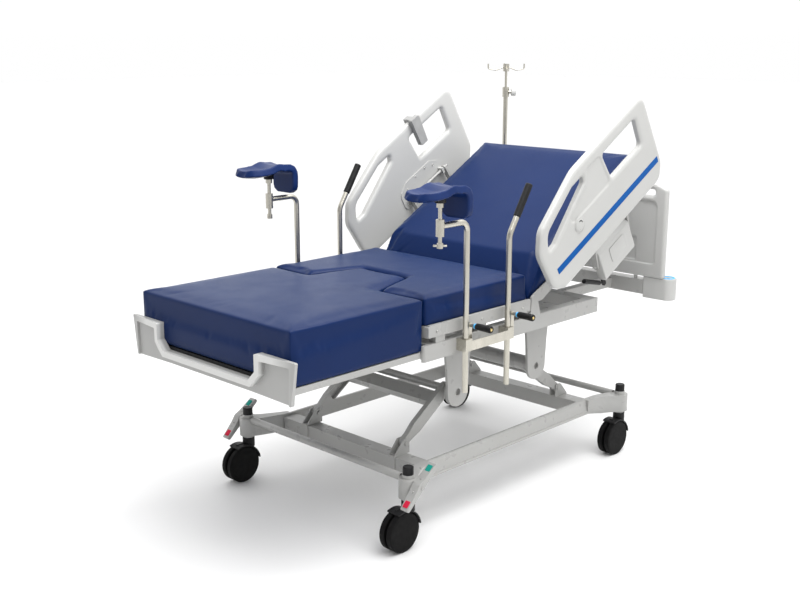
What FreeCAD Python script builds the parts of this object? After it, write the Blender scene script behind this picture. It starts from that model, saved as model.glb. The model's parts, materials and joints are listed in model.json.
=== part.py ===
import FreeCAD, Part
import math
import os

# Electric birthing bed, in millimetres, +Z up.
# Work coordinates: x = 0 midway between the castor posts, +X to the head end, y = 0 on the
# centre line, z = 0 on the floor. The near (patient's left) side is -Y.
# Every solid is moved along X at export, so that the origin ends up under the middle of the box.

Vec = FreeCAD.Vector

# Chassis
post_x = 671.0
post_y = 461.0
post_diameter = 44.0
post_bottom = 180.0
post_top = 278.0
cap_height = 30.0
member_inner_y = 385.0
member_width = 30.0
member_bottom = 200.0
member_top = 260.0
member_straight_half = 500.0
block_bottom = 190.0
block_top = 264.0
block_radius = 35.0
block_slope = 70.0
post_fit = 0.02
cross_x = 475.0
cross_width = 66.0
cross_bottom = 190.0
cross_top = 250.0
tube_wall = 3.0
end_tube_diameter = 28.0
end_tube_z = 258.0

# Castors
wheel_diameter = 150.0
wheel_width = 24.0
wheel_inner_gap = 12.0
castor_trail = 45.0
axle_diameter = 16.0
kingpin_diameter = 12.0
kingpin_length = 28.0
running_clearance = 0.05
seat_gap = 0.3

# Brake pedals
pedal_y = 498.0
pedal_width = 34.0
pedal_z = 245.0
pedal_tilt = 42.0
pedal_reach = 102.0

# Lift
arm_base_x = 480.0
arm_base_z = 291.0
arm_top_x = 247.0
arm_top_z = 453.0
arm_y = 239.0
arm_width = 22.0
arm_height = 50.0
arm_pin_diameter = 12.0
ear_thickness = 5.0
ear_gap = 1.0
hanger_inner_y = 308.0
hanger_thickness = 12.0
hanger_top_width = 165.0
hanger_low_width = 131.0
hanger_round = 58.0
hanger_hole_diameter = 28.0

# Deck
mattress_half_width = 425.0
mattress_top = 895.0
mattress_thickness = 105.0
beam_inset = 25.0
beam_width = 40.0
beam_inner_y = mattress_half_width - beam_inset
beam_outer_y = beam_inner_y + beam_width
beam_bottom = 663.0
beam_top = 724.0
beam_foot_x = -546.0
beam_head_x = 501.0
beam_cap_x = -570.0
crossbar_bottom = 700.0
crossbar_width = 60.0
rail_bottom = 748.0
seat_foot_x = -546.0
seat_head_x = 40.0
seat_pan_thickness = 3.0
tongue_base_half = 199.0
tongue_tip_half = 121.0
tongue_tip_x = -326.0
pad_gap = 1.5

# Side posts on the deck
side_post_offset = 28.0
side_post_y = beam_outer_y + side_post_offset
side_post_diameter = 22.0
leg_post_x = -378.0
leg_post_bottom = 517.0
leg_post_bend_z = 1120.0
leg_post_top = 1154.0
leg_stem_x = -521.0
grip_post_x = -137.0
grip_post_bottom = 494.0
grip_post_bend_z = 1075.0
grip_lean = 32.0
grip_length = 137.0
lever_reach = 114.0
lever_end_y = beam_outer_y + lever_reach
lever_grip_length = 71.0
bracket_bottom = 677.0
bracket_top = 722.0

# Leg trough
trough_foot_reach = 148.0
trough_head_reach = 98.0
trough_half_width = 78.0
trough_thickness = 26.0
trough_low_z = 1240.0
trough_crest_z = 1293.0
trough_dish_radius = 230.0
trough_crest_radius = 190.0
flap_thickness = 22.0
flap_bottom = 1168.0
flap_round = 46.0

# Backrest
back_angle = 29.7
back_start_x = 36.0
back_length = 846.0
back_pivot_x = 64.0
back_pivot_z = 790.0
back_raise = 30.0
back_frame_start = 14.0
back_frame_depth = 40.0
back_frame_gap = 0.3
back_tube_width = 40.0
nose_corner_s = -8.0
nose_corner_n = -133.0

# Side rails, placed from the side of the mattress
side_rail_offset = 87.0
side_rail_inner_y = mattress_half_width + side_rail_offset
side_rail_thickness = 33.0
rail_edge_round = 9.0
rail_top_foot_s = 300.0
rail_top_foot_n = 292.0
rail_top_head_s = 828.0
rail_top_head_n = 302.0
stripe_half_width = 11.0
stripe_depth = 1.2
indicator_s = 239.0
indicator_n = 81.0
indicator_radius = 25.0
indicator_height = 3.0
swing_low_y = mattress_half_width + 32.0
swing_low_n = -230.0
swing_high_y = mattress_half_width + 68.0
swing_high_n = 0.0
housing_s0 = 355.0
housing_s1 = 592.0
housing_n0 = -309.0
housing_n1 = -150.0
housing_y0 = mattress_half_width + 17.0
housing_y1 = housing_y0 + 42.0
release_inset = 14.0
release_half_width = 10.0
release_rise = 12.0
release_shank_length = 38.0
release_grip_length = 112.0
pivot_pin_gap = 2.0
lug_gap = 3.0
lug_thickness = 5.5
pivot_ear_gap = 9.0

# Foot section
foot_x = -1171.0
foot_pad_bottom = 700.0
foot_frame_depth = 23.0
foot_tube_width = 40.0
guide_y = mattress_half_width - 65.0
guide_z = 686.0
guide_diameter = 22.0
guide_end_x = -200.0
panel_half_width = mattress_half_width + 37.0
panel_taper = 22.0
panel_depth = 32.0
panel_sweep = 21.0
panel_sheet = 6.0
panel_rim = 21.0
panel_bottom = 648.0
panel_top = 796.0
panel_bar_top = 699.0
horn_inner_y = panel_half_width - 184.0
horn_chamfer = 36.0

# Head end
board_x = 942.0
board_thickness = 28.0
board_half_width = mattress_half_width + 55.0
board_top = 1163.0
head_bar_bottom = 655.0
head_bar_top = 720.0
socket_x = 990.0
socket_y = board_half_width
bumper_bottom = 640.0
bumper_top = 738.0
board_bottom = bumper_top + seat_gap
bumper_radius = 38.0
bumper_inner_y = socket_y - 102.0
pole_diameter = 22.0
pole_top = 1510.0
knob_reach = 26.0
pole_rod_diameter = 12.0
pole_rod_top = 1632.0
pole_rod_depth = 380.0
pole_drop = 70.0
hook_reach = 88.0
hook_wire = 3.5
board_pin_diameter = 18.0
board_pin_y = board_half_width - 150.0

foot_end = foot_x - seat_gap - panel_depth
head_end = socket_x + hook_reach * math.cos(math.radians(45)) + hook_wire
origin_shift = -(foot_end + head_end) / 2

os.makedirs("parts", exist_ok=True)


# Helpers

def box(x0, x1, y0, y1, z0, z1):
    return Part.makeBox(x1 - x0, y1 - y0, z1 - z0, Vec(x0, y0, z0))


def hollow_x(x0, x1, y0, y1, z0, z1):
    """Rectangular tube along X, open at both ends."""
    w = tube_wall
    return box(x0, x1, y0, y1, z0, z1).cut(box(x0 - 1, x1 + 1, y0 + w, y1 - w, z0 + w, z1 - w))


def hollow_y(x0, x1, y0, y1, z0, z1):
    """Rectangular tube along Y, open at both ends."""
    w = tube_wall
    return box(x0, x1, y0, y1, z0, z1).cut(box(x0 + w, x1 - w, y0 - 1, y1 + 1, z0 + w, z1 - w))


def rod(start, direction, radius, length):
    return Part.makeCylinder(radius, length, Vec(*start), Vec(*direction))


def ring(start, direction, outer, inner, length):
    return rod(start, direction, outer, length).cut(rod(start, direction, inner, length))


def outline(corners):
    """Closed wire in the XY plane through corners (x, y, radius), with rounded corners."""
    edges = []
    count = len(corners)
    starts = []
    ends = []
    for i in range(count):
        x, y, radius = corners[i]
        here = Vec(x, y, 0)
        before = Vec(corners[i - 1][0], corners[i - 1][1], 0)
        after = Vec(corners[(i + 1) % count][0], corners[(i + 1) % count][1], 0)
        into = (here - before).normalize()
        out = (after - here).normalize()
        turn = math.acos(max(-1.0, min(1.0, into.dot(out))))
        if radius <= 0 or turn < 1e-3:
            starts.append(here)
            ends.append(here)
            continue
        reach = radius * math.tan(turn / 2)
        first = here - into * reach
        last = here + out * reach
        inward = (out - into).normalize()
        middle = here + inward * (radius / math.cos(turn / 2) - radius)
        starts.append(first)
        ends.append(last)
        edges.append((i, Part.Arc(first, middle, last).toShape()))
    arcs = dict(edges)
    path = []
    for i in range(count):
        if i in arcs:
            path.append(arcs[i])
        following = starts[(i + 1) % count]
        if ends[i].distanceToPoint(following) > 1e-6:
            path.append(Part.makeLine(ends[i], following))
    return Part.Wire(path)


def prism_z(corners, z0, z1):
    face = Part.Face(outline(corners))
    face.translate(Vec(0, 0, z0))
    return face.extrude(Vec(0, 0, z1 - z0))


def prism_y(corners, y0, y1):
    """Corners are (x, z, radius)."""
    face = Part.Face(outline(corners))
    face.rotate(Vec(0, 0, 0), Vec(1, 0, 0), 90)
    face.translate(Vec(0, y0, 0))
    return face.extrude(Vec(0, y1 - y0, 0))


def prism_x(corners, x0, x1):
    """Corners are (y, z, radius)."""
    face = Part.Face(outline(corners))
    face.rotate(Vec(0, 0, 0), Vec(1, 1, 1), 120)
    face.translate(Vec(x0, 0, 0))
    return face.extrude(Vec(x1 - x0, 0, 0))


def fuse(shapes):
    joined = shapes[0]
    if len(shapes) > 1:
        joined = shapes[0].multiFuse(shapes[1:])
    return joined.removeSplitter()


def far(shape):
    """The same shape on the other side of the bed."""
    return shape.mirror(Vec(0, 0, 0), Vec(0, 1, 0))


def head(shape):
    """The same shape at the other end of the chassis."""
    return shape.mirror(Vec(0, 0, 0), Vec(1, 0, 0))


def both(shape):
    return [shape, far(shape)]


def tilt(shape):
    """From backrest coordinates (s along it, n out of it) to the raised place in the bed."""
    moved = shape.copy()
    moved.rotate(Vec(0, 0, 0), Vec(0, 1, 0), -back_angle)
    moved.translate(Vec(back_start_x, 0, mattress_top))
    return moved


def on_backrest(s, n):
    angle = math.radians(back_angle)
    x = back_start_x + s * math.cos(angle) - n * math.sin(angle)
    z = mattress_top + s * math.sin(angle) + n * math.cos(angle)
    return x, z


def bent_tube(points, bend, radius):
    """Round bar through points, with a tangent arc at each inner point."""
    path = []
    last = Vec(*points[0])
    for i in range(1, len(points) - 1):
        here = Vec(*points[i])
        into = (here - Vec(*points[i - 1])).normalize()
        out = (Vec(*points[i + 1]) - here).normalize()
        turn = into.getAngle(out)
        reach = bend * math.tan(turn / 2)
        inward = (out - into).normalize()
        first = here - into * reach
        after = here + out * reach
        middle = here + inward * (bend / math.cos(turn / 2) - bend)
        path.append(Part.makeLine(last, first))
        path.append(Part.Arc(first, middle, after).toShape())
        last = after
    path.append(Part.makeLine(last, Vec(*points[-1])))
    wire = Part.Wire(path)
    direction = (Vec(*points[1]) - Vec(*points[0])).normalize()
    section = Part.Wire([Part.makeCircle(radius, Vec(*points[0]), direction)])
    return wire.makePipeShell([section], True, True)


def save(name, shapes):
    solids = []
    for shape in shapes:
        solids.extend(shape.Solids)
    moved = Part.makeCompound(solids)
    moved.translate(Vec(origin_shift, 0, 0))
    if len(solids) == 1:
        moved = moved.Solids[0]
    moved.exportStep("parts/" + name + ".step")


# Chassis

def side_member():
    profile = [(member_inner_y, member_bottom, 0), (member_inner_y, member_top, 2),
               (member_inner_y + 12, member_top, 2), (member_inner_y + 19, member_top - 9, 2),
               (member_inner_y + 24, member_bottom + 12, 2),
               (member_inner_y + member_width, member_bottom + 9, 2),
               (member_inner_y + member_width, member_bottom, 0)]
    straight = prism_x(profile, -member_straight_half, member_straight_half)
    reach = block_radius
    angle = math.radians(135)
    outer_start = Vec(member_straight_half, member_inner_y + member_width, 0)
    outer_end = Vec(post_x + reach * math.cos(angle), post_y + reach * math.sin(angle), 0)
    round_side = Vec(post_x + reach, post_y, 0)
    inner_start = Vec(post_x, post_y - reach, 0)
    inner_end = Vec(member_straight_half, member_inner_y, 0)
    flare_out = (outer_start + outer_end) * 0.5 + Vec(9, -10, 0)
    flare_in = (inner_start + inner_end) * 0.5 + Vec(4, -8, 0)
    wire = Part.Wire([Part.Arc(outer_start, flare_out, outer_end).toShape(),
                      Part.Arc(outer_end, round_side, inner_start).toShape(),
                      Part.Arc(inner_start, flare_in, inner_end).toShape(),
                      Part.makeLine(inner_end, outer_start)])
    face = Part.Face(wire)
    face.translate(Vec(0, 0, block_bottom))
    block = face.extrude(Vec(0, 0, block_top - block_bottom))
    slope_end = member_straight_half + block_slope
    under = [(member_straight_half - 1, block_bottom - 1, 0), (slope_end, block_bottom - 1, 0),
             (slope_end, block_bottom, 0), (member_straight_half, member_bottom, 0),
             (member_straight_half - 1, member_bottom, 0)]
    over = [(member_straight_half - 1, block_top + 1, 0), (slope_end, block_top + 1, 0),
            (slope_end, block_top, 0), (member_straight_half, member_top, 0),
            (member_straight_half - 1, member_top, 0)]
    for wedge in (under, over):
        block = block.cut(prism_y(wedge, member_inner_y - 1, post_y + reach))
    block = block.cut(rod((post_x, post_y, 0), (0, 0, 1), post_diameter / 2 + 5 * post_fit, post_top))
    return fuse([straight, block, head(block)])


def cross_member():
    return hollow_y(cross_x, cross_x + cross_width, -member_inner_y, member_inner_y, cross_bottom, cross_top)


def castor_post(x, y):
    post = rod((x, y, post_bottom), (0, 0, 1), post_diameter / 2, post_top - post_bottom)
    bore = rod((x, y, post_bottom), (0, 0, 1), kingpin_diameter / 2 + running_clearance, kingpin_length + 1)
    return post.cut(bore)


def post_cap(x, y):
    cap = rod((x, y, post_top), (0, 0, 1), post_diameter / 2 - 2, cap_height)
    return cap.makeFillet(4, [cap.Edges[0]])


def arm_bracket():
    """Clevis for one lift arm, welded on the head cross member."""
    inner_y = arm_y - ear_gap - ear_thickness
    outer_y = arm_y + arm_width + ear_gap
    front = cross_x + cross_width
    ear = [(arm_base_x - 17, cross_top, 0), (front, cross_top, 0), (front, cross_top + 8, 4),
           (arm_base_x + 17, arm_base_z + 17, 14), (arm_base_x - 17, arm_base_z + 17, 14)]
    pieces = [prism_y(ear, inner_y, inner_y + ear_thickness)]
    pieces.append(prism_y(ear, outer_y, outer_y + ear_thickness))
    pieces.append(box(cross_x, front + 4, inner_y, outer_y + ear_thickness, cross_top, cross_top + 4))
    pieces.append(box(front, front + 4, inner_y, outer_y + ear_thickness, cross_bottom + 14, cross_top + 4))
    pin_y = inner_y - 5
    pieces.append(rod((arm_base_x, pin_y, arm_base_z), (0, 1, 0), arm_pin_diameter / 2,
                      outer_y + ear_thickness + 5 - pin_y))
    pieces.append(rod((arm_base_x, pin_y, arm_base_z), (0, 1, 0), 10, 5))
    pieces.append(rod((arm_base_x, outer_y + ear_thickness, arm_base_z), (0, 1, 0), 10, 5))
    return fuse(pieces)


def end_tube(member):
    """Cross tube between two posts, shaped to the end blocks of the side members."""
    half = post_y - post_diameter / 2
    outer = end_tube_diameter / 2
    tube = ring((post_x, -half, end_tube_z), (0, 1, 0), outer, outer - 2, 2 * half)
    for y in (-post_y, post_y):
        corner = rod((post_x, y, block_bottom), (0, 0, 1), block_radius + post_fit, post_top - block_bottom)
        tube = tube.cut(corner)
    return tube.cut(member).cut(far(member))


def pedal():
    """Rocker on a foot post, red end down, built level and then tilted."""
    half = pedal_reach
    shape = [(-half, -9, 8), (half, -9, 8), (half, 5, 5), (30, 14, 20), (0, 22, 20), (-30, 14, 20),
             (-half, 5, 5)]
    body = prism_y(shape, pedal_y, pedal_y + pedal_width)
    body = body.cut(rod((0, pedal_y - 1, 0), (0, 1, 0), 8 + running_clearance, pedal_width + 2))
    body.rotate(Vec(0, 0, 0), Vec(0, 1, 0), -pedal_tilt)
    body.translate(Vec(-post_x, 0, pedal_z))
    return body


def pedal_stub():
    """Brake shaft end that carries the pedal."""
    stub = rod((-post_x, post_y, pedal_z), (0, 1, 0), 8, pedal_y + pedal_width + 3 - post_y)
    return stub.cut(rod((-post_x, post_y, pedal_z - 40), (0, 0, 1), block_radius, 80))


# Castors

def castor_housing(x, y):
    axle_x = x - castor_trail
    axle_z = wheel_diameter / 2
    web_half = wheel_inner_gap / 2 - 1
    hood_half = wheel_inner_gap / 2 + wheel_width + 1
    inner = wheel_diameter / 2 + 3
    outer = wheel_diameter / 2 + 8
    wedge = [(axle_x - 30, axle_z + 55, 0), (axle_x + 66, axle_z + 12, 0), (axle_x + 120, axle_z + 20, 0),
             (axle_x + 120, axle_z + 140, 0), (axle_x - 30, axle_z + 140, 0)]
    cylinder = ring((axle_x, y - hood_half, axle_z), (0, 1, 0), outer, inner, 2 * hood_half)
    hood = cylinder.common(prism_y(wedge, y - hood_half, y + hood_half))
    disc = rod((axle_x, y - web_half, axle_z), (0, 1, 0), 26, 2 * web_half)
    blade = prism_y([(axle_x - 22, axle_z, 0), (axle_x + 22, axle_z, 0), (axle_x + 70, axle_z + 50, 0),
                     (x + 20, post_bottom - 20, 0), (axle_x - 18, post_bottom - 20, 0)],
                    y - web_half, y + web_half)
    neck_bottom = axle_z + inner - 12
    neck = rod((x, y, neck_bottom), (0, 0, 1), 25, post_bottom - seat_gap - neck_bottom)
    neck = neck.cut(rod((axle_x, y - 60, axle_z), (0, 1, 0), inner, 120))
    pin_top = post_bottom + kingpin_length
    pin = rod((x, y, neck_bottom + 8), (0, 0, 1), kingpin_diameter / 2, pin_top - neck_bottom - 8)
    body = fuse([hood, disc, blade, neck, pin])
    return body.cut(rod((axle_x, y - 60, axle_z), (0, 1, 0), axle_diameter / 2 + running_clearance, 120))


def castor_wheels(x, y):
    """Twin discs on one axle, turned as one profile."""
    r = wheel_diameter / 2
    gap = wheel_inner_gap / 2
    w = wheel_width
    half = [(0, axle_diameter / 2), (gap, axle_diameter / 2), (gap, r - 4), (gap + 3, r), (gap + w - 4, r),
            (gap + w - 1, r - 4), (gap + w, r - 14), (gap + w, 0), (0, 0)]
    points = [Vec(a, b, 0) for a, b in half]
    points.append(points[0])
    side = Part.Face(Part.makePolygon(points)).revolve(Vec(0, 0, 0), Vec(1, 0, 0), 360)
    other = side.mirror(Vec(0, 0, 0), Vec(1, 0, 0))
    body = fuse([side, other])
    body.rotate(Vec(0, 0, 0), Vec(0, 0, 1), 90)
    body.translate(Vec(x - castor_trail, y, r))
    return body


# Lift

def lift_arms(shaft_radius, disc_radius):
    """Pair of arms at the head end with their cross beam and top shaft."""
    length = math.hypot(arm_base_x - arm_top_x, arm_top_z - arm_base_z)
    angle = math.degrees(math.atan2(arm_top_z - arm_base_z, arm_base_x - arm_top_x))
    half = arm_height / 2
    shape = [(-16, -16, 15), (30, -16, 20), (80, -half, 30), (length + half, -half, 24),
             (length + half, half, 24), (80, half, 30), (30, 16, 20), (-16, 16, 15)]
    arm = prism_y(shape, arm_y, arm_y + arm_width)
    pocket = [(90, 5 - half, 6), (length - 40, 5 - half, 6), (length - 40, half - 5, 6), (90, half - 5, 6)]
    arm = arm.cut(prism_y(pocket, arm_y - 1, arm_y + arm_width - 6))
    hole = rod((0, arm_y - 1, 0), (0, 1, 0), arm_pin_diameter / 2 + running_clearance, arm_width + 2)
    arm = arm.cut(hole)
    beam_outer = box(length - 90, length - 36, -arm_y - 1, arm_y + 1, -18, 18)
    beam = beam_outer.cut(box(length - 86, length - 40, -arm_y - 2, arm_y + 2, -30, 14))
    end = hanger_inner_y - seat_gap
    shaft = rod((length, -end, 0), (0, 1, 0), shaft_radius, 2 * end)
    discs = [rod((length, side, 0), (0, 1, 0), disc_radius, 10) for side in (-end, end - 10)]
    body = fuse([arm, far(arm), beam, shaft] + discs)
    body.rotate(Vec(0, 0, 0), Vec(0, 1, 0), -angle)
    body = head(body)
    body.translate(Vec(arm_base_x, 0, arm_base_z))
    return body


def hanging_plate():
    top = hanger_top_width / 2
    low = hanger_low_width / 2
    r = hanger_round
    x = arm_top_x
    z = arm_top_z
    face_points = [(x - top, crossbar_bottom, 0), (x - low, z + 110, 40), (x - r, z, 20),
                   (x - r, z - r, r - 1), (x + r, z - r, r - 1), (x + r, z, 20), (x + low, z + 110, 40),
                   (x + top, crossbar_bottom, 0)]
    plate = prism_y(face_points, hanger_inner_y, hanger_inner_y + hanger_thickness)
    hole = rod((x, hanger_inner_y - 1, z), (0, 1, 0), hanger_hole_diameter / 2, hanger_thickness + 2)
    return plate.cut(hole)


# Deck

def deck_beam():
    main = box(beam_foot_x, beam_head_x, beam_inner_y, beam_outer_y, beam_bottom, beam_top)
    main = main.cut(box(beam_foot_x + 40, beam_head_x, beam_inner_y - 1, beam_outer_y - 4,
                        beam_bottom + 4, beam_top - 4))
    cap_y = mattress_half_width + pad_gap
    cap = prism_z([(beam_cap_x, cap_y, 0), (beam_foot_x, cap_y, 0), (beam_foot_x, beam_outer_y, 0),
                   (beam_cap_x, beam_outer_y, 11)], beam_bottom, beam_top)
    return fuse([main, cap])


def crossbar(x, y_half):
    half = crossbar_width / 2
    return hollow_y(x - half, x + half, -y_half, y_half, crossbar_bottom, beam_top)


def deck_crossbars():
    bars = [crossbar(x, beam_inner_y) for x in (-arm_top_x, arm_top_x)]
    sleeves = []
    foot_bar = crossbar(beam_foot_x + crossbar_width / 2, beam_inner_y)
    for side in (-guide_y, guide_y):
        sleeve = box(beam_foot_x, beam_foot_x + crossbar_width, side - 18, side + 18,
                     guide_z - 16, crossbar_bottom)
        sleeve = sleeve.cut(rod((beam_foot_x - 1, side, guide_z), (1, 0, 0),
                                guide_diameter / 2 + running_clearance, crossbar_width + 2))
        sleeves.append(sleeve)
    head_bar = hollow_y(beam_head_x - crossbar_width, beam_head_x, -beam_inner_y, beam_inner_y,
                        beam_bottom, beam_top)
    return bars + [fuse([foot_bar] + sleeves), head_bar]


def seat_rail():
    top = mattress_top - mattress_thickness - seat_gap
    rail = prism_y([(seat_foot_x, rail_bottom, 6), (seat_head_x, rail_bottom, 0), (seat_head_x, top, 0),
                    (seat_foot_x, top, 6)], beam_inner_y, beam_outer_y)
    lip = box(seat_foot_x + 6, seat_head_x, mattress_half_width + pad_gap, beam_outer_y, top - 1, top + 4)
    spacers = []
    for x in (seat_foot_x + 66, -250.0, 0.0):
        spacers.append(box(x - 25, x + 25, beam_inner_y + 4, beam_outer_y - 3, beam_top, rail_bottom))
    return fuse([rail, lip] + spacers)


def seat_pan():
    top = mattress_top - mattress_thickness - seat_gap
    return box(seat_foot_x, seat_head_x, -beam_inner_y, beam_inner_y, top - seat_pan_thickness, top)


def pivot_lug():
    """Ear on the lower beam that carries the backrest pivot, with its pin pointing inwards."""
    ear_y = mattress_half_width + pivot_ear_gap
    ear = prism_y([(back_pivot_x - 22, beam_top, 0), (back_pivot_x + 42, beam_top, 0),
                   (back_pivot_x + 16, back_pivot_z + 16, 14), (back_pivot_x - 16, back_pivot_z + 16, 14)],
                  ear_y, beam_outer_y)
    pin_y = mattress_half_width + pivot_pin_gap
    pin = rod((back_pivot_x, pin_y, back_pivot_z), (0, 1, 0), 6, ear_y + 1 - pin_y)
    return fuse([ear, pin])


def seat_mattress():
    w = mattress_half_width
    g = pad_gap
    corners = [(seat_foot_x, -w, 6), (seat_head_x, -w, 6), (seat_head_x, w, 6), (seat_foot_x, w, 6),
               (seat_foot_x, tongue_base_half + g, 0), (tongue_tip_x + g, tongue_tip_half + g, 0),
               (tongue_tip_x + g, -tongue_tip_half - g, 0), (seat_foot_x, -tongue_base_half - g, 0)]
    return prism_z(corners, mattress_top - mattress_thickness, mattress_top)


# Side posts, brackets and levers

def post_bracket():
    """U bracket with a split collar round each side post, bolted to the lower beam."""
    half = side_post_diameter / 2
    pieces = []
    for x in (leg_post_x, grip_post_x):
        block = box(x - 18, x + 18, beam_outer_y, side_post_y + 18, bracket_bottom, bracket_top)
        pieces.append(block)
    pieces.append(box(leg_post_x + 18, grip_post_x - 18, side_post_y + 14, side_post_y + 18, bracket_bottom,
                      bracket_top - 8))
    body = fuse(pieces)
    for x in (leg_post_x, grip_post_x):
        body = body.cut(rod((x, side_post_y, bracket_bottom - 1), (0, 0, 1), half + running_clearance, 60))
    return body


def leg_post():
    r = side_post_diameter / 2
    points = [(leg_post_x, side_post_y, leg_post_bottom), (leg_post_x, side_post_y, leg_post_top),
              (leg_stem_x + 8, side_post_y, leg_post_top)]
    tube = bent_tube(points, leg_post_top - leg_post_bend_z, r)
    sleeve = rod((leg_stem_x, side_post_y, leg_post_top - 36), (0, 0, 1), 15, 60)
    body = fuse([tube, sleeve])
    return body.cut(rod((leg_stem_x, side_post_y, leg_post_top - 40), (0, 0, 1), 7 + running_clearance, 80))


def trough_stem():
    stem = rod((leg_stem_x, side_post_y, leg_post_top - 60), (0, 0, 1), 7, trough_low_z - leg_post_top + 60)
    socket = rod((leg_stem_x, side_post_y, trough_low_z - 20), (0, 0, 1), 13, 20)
    knob = rod((leg_stem_x, side_post_y, leg_post_top - 78), (0, 0, 1), 11, 18)
    bar = rod((leg_stem_x - 17, side_post_y - 17, leg_post_top - 69), (1, 1, 0), 4, 48)
    return fuse([stem, socket, knob, bar])


def leg_trough():
    """Saddle-shaped shell: a dish with a round foot end, a crest and a flap that hangs at the head end."""
    t = trough_thickness
    x0 = leg_stem_x - trough_foot_reach
    x1 = leg_stem_x + trough_head_reach
    low = trough_low_z
    crest = trough_crest_z
    inner_x = x1 - flap_thickness
    shape = [(x0, low + 20, 8), (x0 + 55, low, 60), (leg_stem_x + 25, low, 40), (inner_x - 14, crest - t, 16),
             (inner_x, crest - t - 20, 14), (inner_x, flap_bottom, 4), (x1, flap_bottom, 4),
             (x1, crest - 8, 26), (x1 - 24, crest, 24), (leg_stem_x + 45, crest, 30),
             (leg_stem_x - 30, low + t, 90), (x0 + 55, low + t, 60), (x0, low + 40, 8)]
    half = trough_half_width
    y0 = side_post_y - half
    y1 = side_post_y + half
    shell = prism_y(shape, y0, y1)
    plan = [(x0, y0, half - 2), (x1 + 1, y0, 30), (x1 + 1, y1, 30), (x0, y1, half - 2)]
    shell = shell.common(prism_z(plan, flap_bottom - 1, crest + 1))
    flap = [(y0, flap_bottom, flap_round), (y1, flap_bottom, flap_round), (y1, crest + 1, 0),
            (y0, crest + 1, 0)]
    shell = shell.common(prism_x(flap, x0 - 1, x1 + 2))
    dish_z = low + t - 6 + trough_dish_radius
    dish = rod((x0 + 16, side_post_y, dish_z), (1, 0, 0), trough_dish_radius, leg_stem_x + 20 - x0)
    saddle = rod((leg_stem_x + 30, side_post_y, crest - 16 + trough_crest_radius), (1, 0, 0),
                 trough_crest_radius, x1 - leg_stem_x)
    return shell.cut(saddle).cut(dish)


def grip_post():
    lean = math.radians(grip_lean)
    bend = (grip_post_x, side_post_y, grip_post_bend_z)
    end = (grip_post_x + 75 * math.sin(lean), side_post_y, grip_post_bend_z + 75 * math.cos(lean))
    r = side_post_diameter / 2
    return bent_tube([(grip_post_x, side_post_y, grip_post_bottom), bend, end], 60, r)


def hand_grip():
    lean = math.radians(grip_lean)
    start = (grip_post_x + 75 * math.sin(lean), side_post_y, grip_post_bend_z + 75 * math.cos(lean))
    grip = rod(start, (math.sin(lean), 0, math.cos(lean)), 14, grip_length)
    return grip.makeFillet(4, [grip.Edges[0], grip.Edges[2]])


def clamp_lever(x):
    """Cranked lever beside a side post: pivot stub, arm and grip that points outwards."""
    arm_y0 = beam_outer_y + 8
    arm = prism_y([(x - 10, bracket_bottom + 12, 9), (x + 10, bracket_bottom + 12, 9), (x + 8, 772, 7),
                   (x - 8, 772, 7)], arm_y0, arm_y0 + 6)
    spindle = rod((x, beam_outer_y + seat_gap, bracket_bottom + 24), (0, 1, 0), 6, 9)
    grip_y0 = lever_end_y - lever_grip_length
    neck = rod((x, arm_y0 + 5, 762), (0, 1, 0), 7, grip_y0 - arm_y0 - 5)
    grip = rod((x, grip_y0, 762), (0, 1, 0), 12, lever_grip_length)
    grip = grip.makeFillet(3, [grip.Edges[0], grip.Edges[2]])
    return Part.makeCompound([fuse([arm, spindle, neck]), grip])


# Backrest, in backrest coordinates (s, n)

def back_frame():
    top = -mattress_thickness - back_frame_gap
    low = top - back_frame_depth
    outer = mattress_half_width - 8
    first = back_frame_start
    side = box(first, back_length - 20, outer - back_tube_width, outer, low, top)
    inner = outer - back_tube_width
    side = side.cut(box(first + 6, back_length - 26, inner + 3, outer - 3, low + 3, top - 3))
    slats = []
    for s in (first, 215, 415, 615, back_length - 60):
        slats.append(hollow_y(s, s + 40, back_tube_width - outer, outer - back_tube_width, low + 8, top))
    pivot_s, pivot_n = pivot_in_back()
    lug_y = mattress_half_width + lug_gap
    side_view = [(pivot_s - 14, pivot_n + 14, 13), (pivot_s + 14, pivot_n + 14, 13), (150, top, 0),
                 (150, low, 6), (20, low, 6), (pivot_s - 14, pivot_n - 14, 13)]
    lug = prism_y(side_view, lug_y, lug_y + lug_thickness)
    link = box(60, 140, outer, lug_y, low, top - 6)
    lug = lug.cut(rod((pivot_s, outer, pivot_n), (0, 1, 0), 6 + running_clearance, 20))
    hangers = []
    for s in (housing_s0 + 100, housing_s1 - 50):
        hangers.append(box(s, s + 30, outer - 10, housing_y0, housing_n1 - 60, low))
    pieces = both(side) + slats + both(lug) + both(link)
    for hanger in hangers:
        pieces += both(hanger)
    return tilt(fuse(pieces))


def pivot_in_back():
    angle = math.radians(back_angle)
    dx = back_pivot_x - back_start_x
    dz = back_pivot_z - mattress_top
    return dx * math.cos(angle) + dz * math.sin(angle), -dx * math.sin(angle) + dz * math.cos(angle)


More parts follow.
